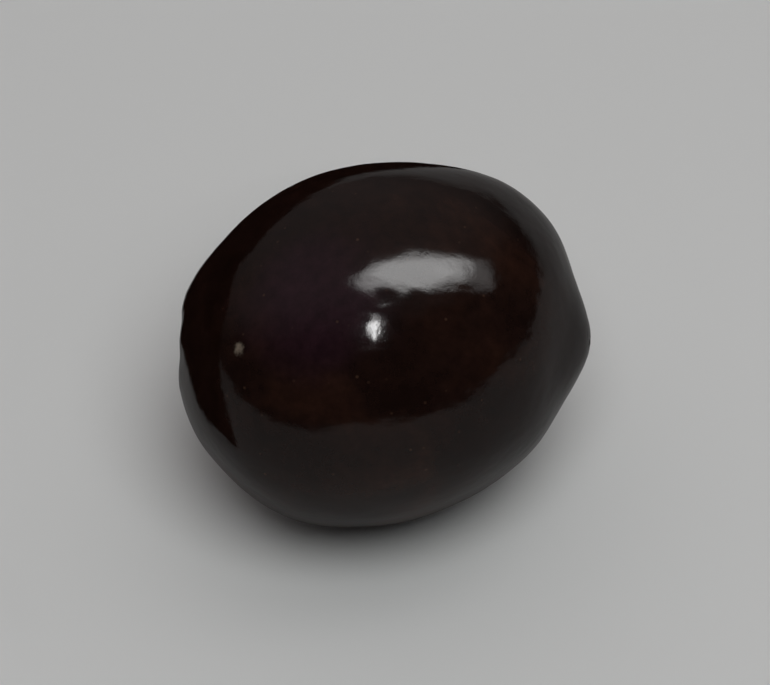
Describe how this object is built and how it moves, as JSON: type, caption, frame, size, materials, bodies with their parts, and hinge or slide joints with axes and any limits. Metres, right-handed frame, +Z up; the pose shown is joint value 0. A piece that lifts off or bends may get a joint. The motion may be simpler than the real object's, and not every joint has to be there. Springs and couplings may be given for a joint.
{
  "type": "black olive",
  "caption": "Whole cured black olive, plump and slightly lopsided, with a blunt tip, a shallow stalk pit and a small flat spot it rests on.",
  "frame": {"origin": "middle of the small flat spot on the underside that the olive rests on", "axes": "+X from the stalk pit to the blunt tip, along the length; +Z up, away from the surface it rests on; +Y across, away from the side seen in the picture"},
  "size_m": [0.0241, 0.0218, 0.0209],
  "materials": {
    "skin": "wet, glossy cured skin, near-black red brown with faint purple and brown clouds and fine pale pores"
  },
  "bodies": {
    "root": {"olive": "skin"}
  },
  "joints": []
}
